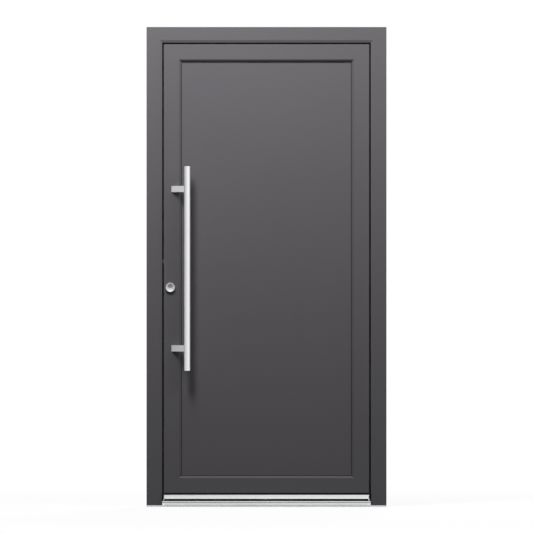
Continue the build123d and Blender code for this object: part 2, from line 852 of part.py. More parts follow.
# Latch: bevelled head, a flat tail beside the follower's arm and a lug behind the arm
latch_half = latch_thickness / 2
lug_start = lock_x + follower_arm_width / 2 + latch_play
with BuildPart() as latch_bolt:
    with BuildSketch(Plane.XY.offset(latch_z - latch_height / 2)):
        fill([
            (-leaf_half - latch_throw, latch_half),
            (-leaf_half - latch_throw, latch_half - latch_nose),
            (-leaf_half - latch_nose, -latch_half),
            (-leaf_half + latch_body, -latch_half),
            (-leaf_half + latch_body, latch_half),
        ])
    extrude(amount=latch_height)
    slab(-leaf_half + latch_body, lug_start + lug_thickness, -latch_half, -latch_half + latch_tail,
         latch_z - latch_tail_half, latch_z + latch_tail_half)
    slab(lug_start, lug_start + lug_thickness, -latch_half, latch_half,
         latch_z - latch_tail_half, latch_z + latch_tail_half)
save(latch_bolt.part, "latch_bolt")

with BuildPart() as lock_follower:
    with BuildSketch(depth_plane(-case_thickness / 2)):
        with Locations((lock_x, -lever_z)):
            Circle(hub_radius)
    extrude(amount=case_thickness)
    slab(lock_x - follower_arm_width / 2, lock_x + follower_arm_width / 2,
         -latch_half + latch_tail + latch_play, latch_half, lever_z, lever_z + follower_arm)
    slab(lock_x - spindle / 2, lock_x + spindle / 2, -case_thickness / 2, case_thickness / 2,
         lever_z - spindle / 2, lever_z + spindle / 2, Mode.SUBTRACT)
save(lock_follower.part, "lock_follower")

with BuildPart() as lever_spindle:
    slab(lock_x - spindle / 2, lock_x + spindle / 2, -case_thickness / 2, backplate_face + spindle_grip,
         lever_z - spindle / 2, lever_z + spindle / 2)
save(lever_spindle.part, "lever_spindle")

# Lever handle: a neck through the backplate, mitred to a round grip
lever_y = leaf_inside + lever_stand
with BuildPart() as lever_handle:
    with BuildLine() as lever_path:
        Polyline(
            (lock_x, leaf_inside, lever_z),
            (lock_x, lever_y, lever_z),
            (lock_x + lever_length, lever_y, lever_z),
        )
    with BuildSketch(Plane((lock_x, leaf_inside, lever_z), x_dir=(1, 0, 0), z_dir=(0, 1, 0))):
        Circle(lever_radius)
    sweep(path=lever_path.wire(), transition=Transition.RIGHT)
    slab(lock_x - spindle / 2, lock_x + spindle / 2, leaf_inside, backplate_face + spindle_grip,
         lever_z - spindle / 2, lever_z + spindle / 2, Mode.SUBTRACT)
save(lever_handle.part, "lever_handle")

# Lock cylinder: body, and a core of the plug with its keyway, the cam and the thumb turn
cylinder_out = outside - cylinder_stand
cylinder_in = leaf_inside + cylinder_stand
cam_half = cam_width / 2
with BuildPart() as cylinder_body:
    with BuildSketch(depth_plane(cylinder_out)):
        euro_profile()
    extrude(amount=cylinder_in - cylinder_out)
    through(lock_x, plug_z, plug_radius + running_clearance, cylinder_out, cylinder_in)
    slab(lock_x - cam_reach - 1, lock_x + cam_reach + 1, -cam_half - cam_clearance,
         cam_half + cam_clearance, plug_z - cam_bridge, plug_z + cam_reach, Mode.SUBTRACT)
save(cylinder_body.part, "cylinder_body")

with BuildPart() as cylinder_core:
    with BuildSketch(depth_plane(cylinder_out)):
        with Locations((lock_x, -plug_z)):
            Circle(plug_radius)
    extrude(amount=backplate_face + knob_gap - cylinder_out)
    slab(lock_x - keyway_width / 2, lock_x + keyway_width / 2, cylinder_out, cylinder_out + keyway_depth,
         plug_z - keyway_height / 2, plug_z + keyway_height / 2, Mode.SUBTRACT)
    with BuildSketch(depth_plane(-cam_half)):
        with Locations((lock_x, -plug_z)):
            Circle(cylinder_radius)
        with Locations((lock_x, -(plug_z - cam_reach / 2))):
            Rectangle(cam_lever_width, cam_reach)
    extrude(amount=cam_width)
    with BuildSketch(depth_plane(backplate_face + knob_gap)):
        with Locations((lock_x, -plug_z)):
            Circle(knob_radius)
    extrude(amount=knob_base)
    with BuildSketch(depth_plane(backplate_face + knob_gap + knob_base)):
        with Locations((lock_x, -plug_z)):
            SlotOverall(2 * knob_radius - 2, knob_wing, rotation=90)
    extrude(amount=knob_thickness)
save(cylinder_core.part, "cylinder_core")

# Rosette outside: a domed ring round the cylinder
with BuildPart() as outer_rosette:
    with BuildSketch(Plane((lock_x, outside, rosette_height), x_dir=(1, 0, 0), z_dir=(0, 0, 1))):
        with BuildLine():
            Polyline(
                (0, -rosette_thickness),
                (0, 0),
                (rosette_radius, 0),
                (rosette_radius, -rosette_shoulder),
                (rosette_crown, -rosette_thickness),
                close=True,
            )
        make_face()
    revolve(axis=Axis((lock_x, 0, rosette_height), (0, 1, 0)))
    cut_cylinder(outside - rosette_thickness, outside, cylinder_fit)
save(outer_rosette.part, "outer_rosette")

with BuildPart() as inner_backplate:
    slab(lock_x - plate_width / 2, lock_x + plate_width / 2, leaf_inside, backplate_face,
         plate_low, plate_high)
    fillet(inner_backplate.edges().filter_by(Axis.Y), plate_round)
    chamfer(inner_backplate.faces().sort_by(Axis.Y)[-1].edges(), plate_edge_bevel)
    cut_cylinder(leaf_inside, backplate_face, cylinder_fit)
    through(lock_x, lever_z, lever_radius + neck_clearance, leaf_inside, backplate_face)
save(inner_backplate.part, "inner_backplate")

# Pull bar: a round bar on two square arms that lean 45 degrees, each with a stud into the leaf
with BuildPart() as pull_bar:
    with BuildSketch(Plane.XY.offset(bar_low)):
        with Locations((bar_x, bar_y)):
            Circle(bar_radius)
    extrude(amount=bar_high - bar_low)
    chamfer(pull_bar.edges().filter_by(GeomType.CIRCLE), bar_end_bevel)
save(pull_bar.part, "pull_bar")

with BuildPart() as pull_supports:
    half_foot = support_width / 2
    for height in support_heights.values():
        with BuildSketch(Plane.XY.offset(height - support_height / 2)) as arm:
            fill([
                (foot_x - half_foot, outside),
                (foot_x + half_foot, outside),
                (bar_x + arm_end, bar_y + arm_end),
                (bar_x - arm_end, bar_y - arm_end),
            ])
            with Locations((bar_x, bar_y)):
                Circle(bar_radius, mode=Mode.SUBTRACT)
        extrude(arm.sketch, amount=support_height)
        with BuildSketch(depth_plane(outside)) as stud:
            with Locations((foot_x, -height)):
                Circle(stud_radius)
        extrude(stud.sketch, amount=stud_length)
save(pull_supports.part, "pull_supports")
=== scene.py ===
# %% [markdown]
# An insulated aluminium entrance door in its frame, seen straight on from outside. The CAD frame
# already holds every profile, seal, hinge and lock part at its true size. They could be modelled
# again here, but nothing would be gained, so this script gives each of them its finish and adds
# the small things a fabricator adds last: screws, caps, black trim at the foot and the bristles of
# the foot brushes. The black trim at the foot is partly painted shade: it darkens the lines where
# shadow falls round the weather bar and the threshold.

# %% Load the imported door as a fixed frame
import json
import math

import bpy
from mathutils import Matrix, Vector


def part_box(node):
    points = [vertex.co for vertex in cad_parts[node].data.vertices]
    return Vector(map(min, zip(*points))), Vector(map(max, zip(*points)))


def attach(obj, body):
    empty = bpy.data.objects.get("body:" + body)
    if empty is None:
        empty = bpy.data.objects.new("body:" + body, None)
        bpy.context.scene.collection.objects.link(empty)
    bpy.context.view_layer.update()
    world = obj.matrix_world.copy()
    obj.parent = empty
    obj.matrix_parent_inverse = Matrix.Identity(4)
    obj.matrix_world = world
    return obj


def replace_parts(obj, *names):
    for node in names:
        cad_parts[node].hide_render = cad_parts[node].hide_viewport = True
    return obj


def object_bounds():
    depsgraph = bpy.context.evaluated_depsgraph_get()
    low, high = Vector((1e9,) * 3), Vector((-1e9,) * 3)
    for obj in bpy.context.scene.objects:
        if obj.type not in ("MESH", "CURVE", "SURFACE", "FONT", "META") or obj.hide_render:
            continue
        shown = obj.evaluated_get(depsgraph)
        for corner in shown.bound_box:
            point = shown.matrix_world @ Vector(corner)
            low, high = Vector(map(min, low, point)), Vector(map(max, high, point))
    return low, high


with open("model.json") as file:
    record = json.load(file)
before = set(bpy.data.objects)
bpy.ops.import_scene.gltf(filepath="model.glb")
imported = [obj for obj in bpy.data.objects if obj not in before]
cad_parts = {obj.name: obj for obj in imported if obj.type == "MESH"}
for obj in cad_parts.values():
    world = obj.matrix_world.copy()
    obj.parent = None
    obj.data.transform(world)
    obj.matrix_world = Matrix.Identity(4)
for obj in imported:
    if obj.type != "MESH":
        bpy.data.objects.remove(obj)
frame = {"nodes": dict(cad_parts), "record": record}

cad_low, cad_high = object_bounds()
nodes = frame["nodes"]
print("CAD box", [round(v, 4) for v in (*cad_low, *cad_high)])

# %% [markdown]
# The picture is a flat elevation with no visible perspective. A true orthographic camera would
# do, but a very long lens far away looks the same and still lets other views frame themselves.
# The frame's 1.1 m fill about 240 of the picture's 533 pixels, which gives the width that the
# camera sees. The row that the door stands on gives the height that it looks from.

# %% Camera straight in front, at the height of the picture's middle
picture_pixels = 533
door_pixels = 239.95
middle_row = 266.5
foot_row = 506.9
metres_per_pixel = (cad_high.x - cad_low.x) / door_pixels
picture_width = picture_pixels * metres_per_pixel
middle_height = (foot_row - middle_row) * metres_per_pixel
lens = 400.0
sensor = 36.0
view_limit = 200.0
camera_distance = picture_width * lens / sensor
outer_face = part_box("frame_left_outer")[0].y

bpy.ops.object.camera_add(
    location=(0, outer_face - camera_distance, middle_height),
    rotation=(math.radians(90), 0, 0),
)
camera = bpy.context.object
camera.data.lens = lens
camera.data.sensor_width = sensor
camera.data.clip_end = view_limit
bpy.context.scene.camera = camera
print("camera distance", round(camera_distance, 2), "m")
print("picture width", round(picture_width, 3), "m")

# %% [markdown]
# A colour read off a picture is in sRGB steps from 0 to 255, while shaders work with linear
# light. Linear numbers could be typed in, but they can't be compared with a picture by eye, so
# every colour is given in steps and converted.

# %% Colour helpers
def linear(step):
    """Linear light of one sRGB step."""
    share = step / 255
    return share / 12.92 if share <= 0.04045 else ((share + 0.055) / 1.055) ** 2.4


def colour(red, green, blue):
    """Linear colour with full opacity from three sRGB steps."""
    return (linear(red), linear(green), linear(blue), 1.0)


# %% [markdown]
# Every shader below is built from nodes. Adding and linking them one by one fills pages, so
# three short helpers do it: one adds a node, one calculates with sockets or plain numbers,
# and one stretches a value from one range to another.

# %% Node helpers
def node(tree, kind, **settings):
    """Adds a node and sets its plain properties."""
    made = tree.nodes.new(kind)
    for key, value in settings.items():
        setattr(made, key, value)
    return made


def calculate(tree, operation, *values):
    """Result of a Math node whose values are sockets or plain numbers."""
    made = node(tree, "ShaderNodeMath", operation=operation)
    for socket, value in zip(made.inputs, values):
        if isinstance(value, float):
            socket.default_value = value
        else:
            tree.links.new(value, socket)
    return made.outputs[0]


def ramp(tree, value, start, end, low, high, kind="SMOOTHSTEP"):
    """Goes from low to high while the value goes from start to end."""
    made = node(tree, "ShaderNodeMapRange", interpolation_type=kind)
    tree.links.new(value, made.inputs["Value"])
    made.inputs["From Min"].default_value = start
    made.inputs["From Max"].default_value = end
    made.inputs["To Min"].default_value = low
    made.inputs["To Max"].default_value = high
    return made.outputs[0]


# %% [markdown]
# Two effects come back in many finishes: the fine orange peel of powder coat, plastic and
# rubber, and the long parallel lines of drawn, rolled and brushed metal. They could be built
# anew in each material. A node group with named inputs is made once instead, and each material
# gives it its own values. Both groups share their sockets and the way a pattern changes the
# tone and roughness a little to each side.

# %% What both groups share
def new_group(name, size_input):
    """Group with the shared sockets and one for its pattern's size, and its two end nodes."""
    group = bpy.data.node_groups.new(name, "ShaderNodeTree")
    inputs = [("Tone", "NodeSocketColor"), size_input, ("Spread", "NodeSocketFloat"),
              ("Roughness", "NodeSocketFloat")]
    outputs = [("Color", "NodeSocketColor"), ("Roughness", "NodeSocketFloat"),
               ("Height", "NodeSocketFloat")]
    for label, kind in inputs:
        group.interface.new_socket(name=label, in_out="INPUT", socket_type=kind)
    for label, kind in outputs:
        group.interface.new_socket(name=label, in_out="OUTPUT", socket_type=kind)
    return group, group.nodes.new("NodeGroupInput"), group.nodes.new("NodeGroupOutput")


def vary(group, given, made, pattern, middle):
    """Tone and roughness, made a little more or less as the pattern leaves its middle."""
    centred = calculate(group, "SUBTRACT", pattern, middle)
    swing = calculate(group, "MULTIPLY_ADD", centred, given.outputs["Spread"], 1.0)
    tint = node(group, "ShaderNodeVectorMath", operation="SCALE")
    group.links.new(given.outputs["Tone"], tint.inputs[0])
    group.links.new(swing, tint.inputs["Scale"])
    group.links.new(tint.outputs[0], made.inputs["Color"])
    rough = calculate(group, "MULTIPLY", given.outputs["Roughness"], swing)
    group.links.new(rough, made.inputs["Roughness"])


def noise(group, detail):
    """Noise texture with a number of finer layers."""
    made = node(group, "ShaderNodeTexNoise")
    made.inputs["Detail"].default_value = detail
    return made


# %% [markdown]
# Powder coat melts into a skin with a grain of about a millimetre, and its tone drifts a
# little over the profile. One noise could give either but not both, so a fine and a broad one
# are added. Only the fine one is felt as relief.

# %% Node group: fine orange peel with a slight change of tone
peel_detail = 3.0
drift_scale = 5.0
drift_detail = 5.0
two_noises_middle = 1.0


def orange_peel_group():
    group, given, made = new_group("orange_peel", ("Grain", "NodeSocketFloat"))
    place = node(group, "ShaderNodeTexCoord").outputs["Object"]
    fine = noise(group, peel_detail)
    group.links.new(place, fine.inputs["Vector"])
    group.links.new(given.outputs["Grain"], fine.inputs["Scale"])
    broad = noise(group, drift_detail)
    broad.inputs["Scale"].default_value = drift_scale
    group.links.new(place, broad.inputs["Vector"])
    both = calculate(group, "ADD", fine.outputs["Fac"], broad.outputs["Fac"])
    vary(group, given, made, both, two_noises_middle)
    group.links.new(fine.outputs["Fac"], made.inputs["Height"])
    return group


orange_peel = orange_peel_group()
print("group", orange_peel.name, "with", len(orange_peel.nodes), "nodes")

# %% [markdown]
# Drawing, rolling and brushing leave scratches that all run one way. A wave texture would make
# them even. Noise in squeezed coordinates makes lines of uneven width and length, so the group
# multiplies the place by three numbers: the smallest is the way the lines run.

# %% Node group: long parallel lines of drawn or brushed metal
line_detail = 4.0
one_noise_middle = 0.5


def drawn_lines_group():
    group, given, made = new_group("drawn_lines", ("Stretch", "NodeSocketVector"))
    squeezed = node(group, "ShaderNodeVectorMath", operation="MULTIPLY")
    place = node(group, "ShaderNodeTexCoord").outputs["Object"]
    group.links.new(place, squeezed.inputs[0])
    group.links.new(given.outputs["Stretch"], squeezed.inputs[1])
    scratches = noise(group, line_detail)
    scratches.inputs["Scale"].default_value = 1.0
    group.links.new(squeezed.outputs[0], scratches.inputs["Vector"])
    vary(group, given, made, scratches.outputs["Fac"], one_noise_middle)
    group.links.new(scratches.outputs["Fac"], made.inputs["Height"])
    return group


drawn_lines = drawn_lines_group()
print("group", drawn_lines.name, "with", len(drawn_lines.nodes), "nodes")

# %% [markdown]
# A material is the Principled shader fed by one of the two groups. The group gives colour,
# roughness and height; what never changes over the surface is set on the shader itself.

# %% Materials from the groups
def finish(name, group, values, bump, metallic=0.0, specular=0.5):
    """Principled material fed by a group. Bump is its strength and its depth in metres."""
    material = bpy.data.materials.new(name)
    material.use_nodes = True
    tree = material.node_tree
    shader = tree.nodes["Principled BSDF"]
    shader.inputs["Metallic"].default_value = metallic
    shader.inputs["Specular IOR Level"].default_value = specular
    effect = node(tree, "ShaderNodeGroup", node_tree=group)
    for key, value in values.items():
        effect.inputs[key].default_value = value
    tree.links.new(effect.outputs["Color"], shader.inputs["Base Color"])
    tree.links.new(effect.outputs["Roughness"], shader.inputs["Roughness"])
    relief = node(tree, "ShaderNodeBump")
    relief.inputs["Strength"].default_value = bump[0]
    relief.inputs["Distance"].default_value = bump[1]
    tree.links.new(effect.outputs["Height"], relief.inputs["Height"])
    tree.links.new(relief.outputs["Normal"], shader.inputs["Normal"])
    return material


def peel(name, tone, roughness, grain=900.0, spread=0.05, bump=(0.15, 0.0002), **shader):
    """Material with orange peel, the finer the larger its grain number."""
    values = {"Tone": tone, "Grain": grain, "Spread": spread, "Roughness": roughness}
    return finish(name, orange_peel, values, bump, **shader)


def lines(name, tone, roughness, stretch, spread=0.12, bump=(0.1, 0.0001), **shader):
    """Material with parallel lines, which run along the smallest number of the stretch."""
    values = {"Tone": tone, "Stretch": stretch, "Spread": spread, "Roughness": roughness}
    return finish(name, drawn_lines, values, bump, **shader)


# %% [markdown]
# The profiles are aluminium under anthracite powder coat. A glossier coat would mirror the
# studio, and no reflection shows in the picture, so it is rough with little shine. Plastic,
# rubber and foam are the same kind of material with their own grain and tone, and the pale
# plastic of the sill has a slight sheen. The brushes have fine upright lines for their hairs.

# %% Finishes of the coated and the soft parts
anthracite = peel("anthracite_powder_coat", colour(92, 90, 93), roughness=0.62, specular=0.1)
polyamide = peel("black_polyamide", colour(20, 20, 21), roughness=0.7, grain=1400.0,
                 specular=0.2)
rubber = peel("black_rubber", colour(6, 6, 7), roughness=0.85, grain=600.0, spread=0.15,
              specular=0.08)
gasket_grey = peel("dark_grey_gasket", colour(58, 57, 58), roughness=0.8, grain=600.0,
                   spread=0.12, specular=0.1)
foam_cream = peel("rigid_foam", colour(232, 222, 188), roughness=0.9, grain=260.0, spread=0.14)
sill_grey = peel("light_grey_sill", colour(243, 243, 244), roughness=0.5, grain=700.0,
                 spread=0.04, metallic=0.4)
brush_hairs = (900.0, 900.0, 20.0)
brush_black = lines("black_pile_brush", colour(12, 12, 12), roughness=0.95,
                    stretch=brush_hairs, spread=0.6, specular=0.1)

# %% [markdown]
# Bare metal takes its look from what it mirrors. The pull bar is brushed along its length, the
# weather bar is drawn and anodised, the rosette is satin and the bar's arms are blasted. Fully
# metallic, these would turn nearly black where they mirror the dark coat, and the picture
# shows them pale, so they are only partly metallic. The lock cylinder and the hardware that
# the picture hides are fully metallic.

# %% Finishes of the metal parts
upright_lines = (2400.0, 2400.0, 9.0)
sideways_lines = (9.0, 2400.0, 2400.0)
stainless = lines("brushed_stainless_upright", colour(240, 240, 240), roughness=0.28,
                  stretch=upright_lines, spread=0.06, metallic=0.85)
anodised = lines("silver_anodised_profile", colour(238, 239, 240), roughness=0.36,
                 stretch=sideways_lines, spread=0.015, bump=(0.01, 0.00003), metallic=0.8)
mill = lines("mill_aluminium", colour(200, 202, 205), roughness=0.42, stretch=sideways_lines,
             metallic=1.0)
zinc = lines("zinc_plated_steel", colour(190, 190, 184), roughness=0.36,
             stretch=upright_lines, metallic=1.0)
nickel = peel("nickel_plated_brass", colour(142, 141, 139), roughness=0.36, grain=1500.0,
              metallic=1.0)
satin_steel = peel("satin_stainless", colour(186, 187, 188), roughness=0.55, grain=1800.0,
                   spread=0.04, metallic=0.8)
blasted_steel = peel("blasted_stainless_arms", colour(236, 237, 238), roughness=0.45,
                     grain=1600.0, spread=0.03, metallic=0.4)

# %% [markdown]
# Each CAD part names its material slot in the record, so a dictionary from slot to finish
# dresses nearly all of them at once. Two parts differ from the rest of their slot: the gasket
# round the panel, which is greyer than the other seals, and the arms of the pull bar.

# %% Finishes on the CAD parts
finish_of_slot = {
    "anthracite_paint": anthracite,
    "polyamide": polyamide,
    "seal_rubber": rubber,
    "brush_seal": brush_black,
    "raw_aluminium": mill,
    "silver_anodised": anodised,
    "sill_plastic": sill_grey,
    "foam": foam_cream,
    "stainless_steel": stainless,
    "zinc_steel": zinc,
    "nickel_brass": nickel,
}
finish_of_part = {"panel_outer_gasket": gasket_grey, "pull_supports": blasted_steel}
for row in frame["record"]["subparts"]:
    material = finish_of_part.get(row["node"], finish_of_slot[row["material_slot"]])
    for slot in nodes[row["node"]].material_slots:
        slot.material = material
print(len(finish_of_slot), "finishes on", len(nodes), "CAD nodes")

# %% [markdown]
# New pieces are mostly small blocks and turned parts. Their outlines could be drawn point by
# point, but a cube or a cylinder with rounded edges is what they really are. Both helpers put
# the place into the mesh, so that the object stays at the origin. A third one cuts holes.

# %% Helpers for new pieces
sharp_corner = math.radians(40)
smooth_corner = math.radians(35)


def dress(piece, body, material):
    """Names what a finished piece rides on and gives it its finish."""
    piece.data.materials.clear()
    piece.data.materials.append(material)
    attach(piece, body)
    return piece


def round_edges(piece, width, segments=2):
    """Bevels every sharp edge and applies the bevel."""
    bevel = piece.modifiers.new("edges", "BEVEL")
    bevel.width = width
    bevel.segments = segments
    bevel.limit_method = "ANGLE"
    bevel.angle_limit = sharp_corner
    bpy.ops.object.modifier_apply(modifier=bevel.name)
    bpy.ops.object.shade_smooth_by_angle(angle=smooth_corner)


def block(name, low, high, edge, segments=2):
    """Block between two corners with rounded edges."""
    bpy.ops.object.select_all(action="DESELECT")
    size = [top - bottom for bottom, top in zip(low, high)]
    middle = [(top + bottom) / 2 for bottom, top in zip(low, high)]
    bpy.ops.mesh.primitive_cube_add(size=1, location=middle, scale=size)
    piece = bpy.context.object
    piece.name = name
    bpy.ops.object.transform_apply(location=True, rotation=True, scale=True)
    round_edges(piece, edge, segments)
    return piece


def turned(name, place, axis, radius, thickness, edge, vertices=64, segments=3):
    """Round piece about an axis, centred on a place, with rounded rims."""
    turn = {"X": (0, math.radians(90), 0), "Y": (math.radians(90), 0, 0), "Z": (0, 0, 0)}[axis]
    bpy.ops.object.select_all(action="DESELECT")
    bpy.ops.mesh.primitive_cylinder_add(vertices=vertices, radius=radius, depth=thickness,
                                        location=place, rotation=turn)
    piece = bpy.context.object
    piece.name = name
    bpy.ops.object.transform_apply(location=True, rotation=True, scale=True)
    round_edges(piece, edge, segments)
    return piece


def cut_away(piece, cutter):
    """Takes the cutter's shape out of a piece and removes the cutter."""
    bpy.ops.object.select_all(action="DESELECT")
    bpy.context.view_layer.objects.active = piece
    cut = piece.modifiers.new("cut", "BOOLEAN")
    cut.operation = "DIFFERENCE"
    cut.object = cutter
    bpy.ops.object.modifier_apply(modifier=cut.name)
    bpy.data.objects.remove(cutter, do_unlink=True)


# %% [markdown]
# The screws have low round heads with a cross recess. A picture of a cross would do from afar,
# but a real recess catches the light close up. One pattern of each size is made with its head
# on the plane z = 0, looking up, and two small bars cut the cross. Every plate in the door
# then gets its own copies, turned to face out of the plate.

# %% The pattern screws
# Shares of the head's rise.
head_edge = 0.9
recess_floor = 0.1
cutter_top = 2
# Shares of the head's radius.
recess_width = 0.2
recess_span = 1.1
# Share of the recess's width.
cutter_edge = 0.2


def pattern_screw(radius, rise):
    """Head that rises above z = 0 with its other half hidden in the plate."""
    screw = turned("pattern_screw", (0, 0, 0), "Z", radius, 2 * rise, rise * head_edge,
                   vertices=32, segments=4)
    narrow, wide = radius * recess_width, radius * recess_span
    for size_x, size_y in ((wide, narrow), (narrow, wide)):
        slot_low = (-size_x / 2, -size_y / 2, rise * recess_floor)
        slot_high = (size_x / 2, size_y / 2, rise * cutter_top)
        cutter = block("cutter", slot_low, slot_high, narrow * cutter_edge, segments=1)
        cut_away(screw, cutter)
    return screw


facing = {
    "-X": Matrix.Rotation(math.radians(-90), 4, "Y"),
    "+X": Matrix.Rotation(math.radians(90), 4, "Y"),
    "+Y": Matrix.Rotation(math.radians(-90), 4, "X"),
}
large_screw = pattern_screw(radius=0.0048, rise=0.0011)
small_screw = pattern_screw(radius=0.0036, rise=0.0008)
for pattern in (large_screw, small_screw):
    bpy.context.collection.objects.unlink(pattern)


def screws(prefix, pattern, places, way, body, material):
    """Own copy of the pattern at each place, facing one of the ways above."""
    for number, place in enumerate(places, 1):
        mesh = pattern.data.copy()
        mesh.transform(Matrix.Translation(place) @ facing[way])
        piece = bpy.data.objects.new(f"{prefix}_{number}", mesh)
        bpy.context.collection.objects.link(piece)
        dress(piece, body, material)
    print(prefix, len(places))


# %% [markdown]
# Four screws hold each hinge plate, clear of the knuckle. They could ride with one hinge part,
# but half of the plates are on the frame and half on the leaf, so each set rides on its own
# body. The CAD holds all three hinges in one node a side, so their heights are given here.

# %% Hinge screws
hinge_heights = (0.270, 1.150, 1.930)
rows_in_plate = (-0.040, 0.040)
frame_columns = (0.524, 0.540)
leaf_columns = (0.446, 0.464)
frame_plate_face = 0.0435
leaf_plate_face = 0.0555


def hinge_places(columns, face):
    """Places of the screws in all three plates of one side."""
    return [(x, face, z + row) for z in hinge_heights for row in rows_in_plate for x in columns]


screws("hinge_screw_frame", large_screw, hinge_places(frame_columns, frame_plate_face),
       "+Y", "frame", zinc)
screws("hinge_screw_leaf", large_screw, hinge_places(leaf_columns, leaf_plate_face),
       "+Y", "leaf", zinc)

# %% [markdown]
# The strikes on the jamb and the long faceplate in the leaf's edge face each other across the
# 7 mm joint. Countersunk holes could be cut in the plates, but low heads that stand less than
# a millimetre proud look much the same and leave the CAD parts alone. The backplate inside
# has one such screw near each end.

# %% Strike, faceplate and backplate screws
strike_screw_heights = {
    "deadbolt": (1.0222, 1.0818),
    "latch": (1.1062, 1.1458),
    "lower hook": (0.5770, 0.6375),
    "upper hook": (1.5970, 1.6575),
}
strike_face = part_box("main_strike_plates")[1].x
strike_places = [(strike_face, 0, z) for pair in strike_screw_heights.values() for z in pair]
screws("strike_screw", small_screw, strike_places, "+X", "frame", zinc)

faceplate_screw_heights = (0.345, 0.545, 0.760, 0.930, 1.190, 1.400, 1.560, 1.720, 1.875)
faceplate_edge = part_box("lock_faceplate")[0].x
faceplate_places = [(faceplate_edge, 0, z) for z in faceplate_screw_heights]
screws("faceplate_screw", small_screw, faceplate_places, "-X", "leaf", zinc)

backplate_low, backplate_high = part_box("inner_backplate")
backplate_middle = (backplate_low.x + backplate_high.x) / 2
backplate_margin = 0.012
backplate_places = [
    (backplate_middle, backplate_high.y, backplate_low.z + backplate_margin),
    (backplate_middle, backplate_high.y, backplate_high.z - backplate_margin),
]
screws("backplate_screw", small_screw, backplate_places,
       "+Y", "leaf", stainless)

# %% [markdown]
# The four wall fixings in each jamb are driven from the rebate, where plastic caps close the
# holes afterwards. The holes could be cut first, but the caps hide them, so a thin disc sunk
# into the jamb, with half a millimetre left proud, is enough.

# %% Fixing caps in the rebate
jamb_face = abs(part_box("frame_left_outer")[1].x)
fixing_heights = (0.25, 0.85, 1.45, 2.05)
fixing_depth = 0.025
fixing_cap_radius = 0.0078
fixing_cap_thickness = 0.0016
fixing_cap_set_in = 0.0003
sides = {"left": -1, "right": 1}
for side, sign in sides.items():
    for number, height in enumerate(fixing_heights, 1):
        place = (sign * (jamb_face + fixing_cap_set_in), fixing_depth, height)
        cap = turned(f"fixing_cap_{side}_{number}", place, "X", fixing_cap_radius,
                     fixing_cap_thickness, edge=0.0006, vertices=40)
        dress(cap, "frame", polyamide)

# %% [markdown]
# The weather bar is clipped to the foot of the leaf, and a black rubber lip lies in the corner
# between them. Its black is partly painted shade: it stands in for the shadow line of the joint
# above the bar. It could be one piece with the bar, but a soft strip needs its own finish, so it
# is a slim block with well rounded edges.

# %% Sealing lip on the weather bar, its black partly painted shade
bar_low, bar_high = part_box("weather_bar")
lip_front, lip_back = outer_face - 0.0068, outer_face - 0.0001
lip_foot, lip_top = bar_high.z - 0.0042, bar_high.z + 0.0034
# Black lip that is partly painted shade: the dark shadow line of the joint above the weather bar.
lip_shade_line = block("weather_bar_lip_shade_line", (bar_low.x, lip_front, lip_foot),
            (bar_high.x, lip_back, lip_top), edge=0.0014, segments=3)
dress(lip_shade_line, "leaf", rubber)

# %% [markdown]
# Two thin black lines run along the threshold: a strip on the upper edge of its nose and an insert
# in the face below. Both are painted shade: the strip stands in for the shadow in the gap under
# the weather bar and the insert for the shadow line under the nose. Darker stripes in the material
# would do as well, but these stand a little proud, so they are slim blocks that end just short of
# its ends.

# %% Black strips along the threshold as painted shadow lines
nose_low, nose_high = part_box("threshold_outer")
strip_end_gap = 0.0005
strip_left, strip_right = nose_low.x + strip_end_gap, nose_high.x - strip_end_gap
strip_front, strip_back = nose_low.y - 0.0003, nose_low.y + 0.0040
strip_foot, strip_top = nose_high.z - 0.0008, nose_high.z + 0.0008
insert_front, insert_back = nose_low.y + 0.0011, nose_low.y + 0.0030
insert_foot, insert_top = 0.0188, 0.0208

# Black strip on the nose's upper edge: painted shade in the gap under the weather bar.
edge_shade_strip = block("threshold_edge_shade_strip", (strip_left, strip_front, strip_foot),
                   (strip_right, strip_back, strip_top), edge=0.0003)
dress(edge_shade_strip, "frame", rubber)
# Black insert in the face: a painted shadow line under the nose.
shade_insert = block("threshold_shade_insert", (strip_left, insert_front, insert_foot),
               (strip_right, insert_back, insert_top), edge=0.0003)
dress(shade_insert, "frame", rubber)

# %% [markdown]
# A black plastic cap closes each open end of the weather bar and laps a little over it. A flat
# plate would leave the bar's slope open, so the cap starts as a block and its upper front edge
# is let down to follow the slope.

# %% End caps of the weather bar
cap_gap = 0.0009
cap_wrap = 0.0015
cap_proud = 0.0009
cap_corner = 0.004
cap_drop = 0.0095


def sloped_cap(name, x_low, x_high):
    """End cap with the weather bar's outline: a block whose top front edge drops."""
    cap = block(name, (x_low, bar_low.y - cap_proud, bar_low.z),
                (x_high, outer_face, bar_high.z), edge=0.0003, segments=1)
    for point in cap.data.vertices:
        if point.co.y < bar_low.y + cap_corner and point.co.z > bar_high.z - cap_corner:
            point.co.z -= cap_drop
    return dress(cap, "leaf", polyamide)


sloped_cap("weather_bar_cap_left", bar_low.x - cap_gap, bar_low.x + cap_wrap)
sloped_cap("weather_bar_cap_right", bar_high.x - cap_wrap, bar_high.x + cap_gap)

# %% [markdown]
# The weather bar's face is not plain: two raised beads run along it and catch the light as bright
# lines, and a black drip edge under its nose lets rain fall clear of the threshold. The drip
# edge's black is also painted shade, standing in for the shadow along the bar's lower edge. They
# could be drawn into the bar's section, but slim blocks sunk into its face show the same.

# %% Beads and drip edge along the weather bar, the drip edge black as painted shade
bead_proud = 0.0007
drip_proud = 0.0005
depth_in_bar = 0.0040
drip_top = 0.0374
bead_heights = {"top": (0.0502, 0.0550), "foot": (drip_top, 0.0412)}
for row, (foot, top) in bead_heights.items():
    bead = block(f"weather_bar_{row}_bead", (bar_low.x, bar_low.y - bead_proud, foot),
                 (bar_high.x, bar_low.y + depth_in_bar, top), edge=0.0006)
    dress(bead, "leaf", anodised)
